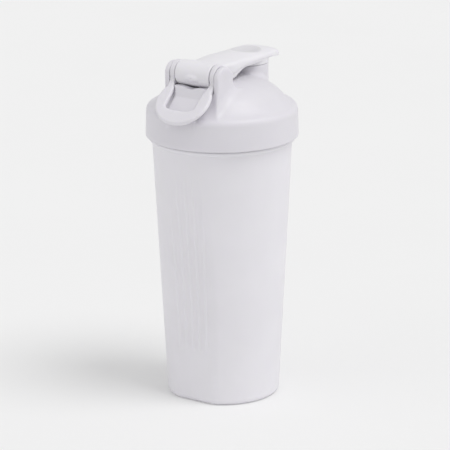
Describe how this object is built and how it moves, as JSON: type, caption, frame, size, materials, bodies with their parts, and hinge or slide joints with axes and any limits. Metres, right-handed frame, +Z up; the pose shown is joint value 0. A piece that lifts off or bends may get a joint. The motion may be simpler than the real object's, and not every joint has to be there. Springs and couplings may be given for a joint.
{
  "type": "protein shaker bottle",
  "caption": "Tapered shaker cup with a domed screw lid, drinking spout, hinged flip cap, carry loop and a loose wire whisk ball.",
  "frame": {"origin": "centre of the cup's flat base, where it stands", "axes": "+Z up the cup's axis; the hinge and the carry loop are towards -Y, the drinking spout and the thumb tab towards +Y"},
  "size_m": [0.098, 0.1086, 0.2246],
  "materials": {
    "cup_plastic": "satin, slightly translucent polypropylene",
    "lid_plastic": "satin moulded polypropylene",
    "cap_plastic": "satin moulded polypropylene",
    "silicone": "soft silicone rubber",
    "steel": "stainless steel wire"
  },
  "bodies": {
    "cup": {"cup": "cup_plastic"},
    "gasket": {"lid_gasket": "silicone"},
    "lid": {"lid": "lid_plastic", "hinge_pin": "steel"},
    "flip_cap": {"flip_cap": "cap_plastic", "plug_seal": "silicone"},
    "carry_loop": {"carry_loop": "cap_plastic"},
    "whisk_ball": {"whisk_ball": "steel"}
  },
  "joints": [
    {"name": "lid_rise", "type": "slide", "parent": "cup", "child": "gasket", "axis": [0, 0, 1], "range_m": [0, 0.0182]},
    {"name": "lid_turn", "type": "hinge", "parent": "gasket", "child": "lid", "pos_m": [0, 0, 0.18], "axis": [0, 0, 1], "range_deg": [0, 720]},
    {"name": "flip_cap_hinge", "type": "hinge", "parent": "lid", "child": "flip_cap", "pos_m": [0, -0.0265, 0.2166], "axis": [1, 0, 0], "range_deg": [0, 135]},
    {"name": "carry_loop_hinge", "type": "hinge", "parent": "lid", "child": "carry_loop", "pos_m": [0, -0.0265, 0.2166], "axis": [-1, 0, 0], "range_deg": [0, 131]},
    {"name": "whisk_ball_bounce", "type": "slide", "parent": "cup", "child": "whisk_ball", "axis": [0, 0, 1], "range_m": [0, 0.13]}
  ],
  "couplings": [
    {"joint": "lid_rise", "follows": "lid_turn", "m_per_rad": 0.0014324}
  ]
}
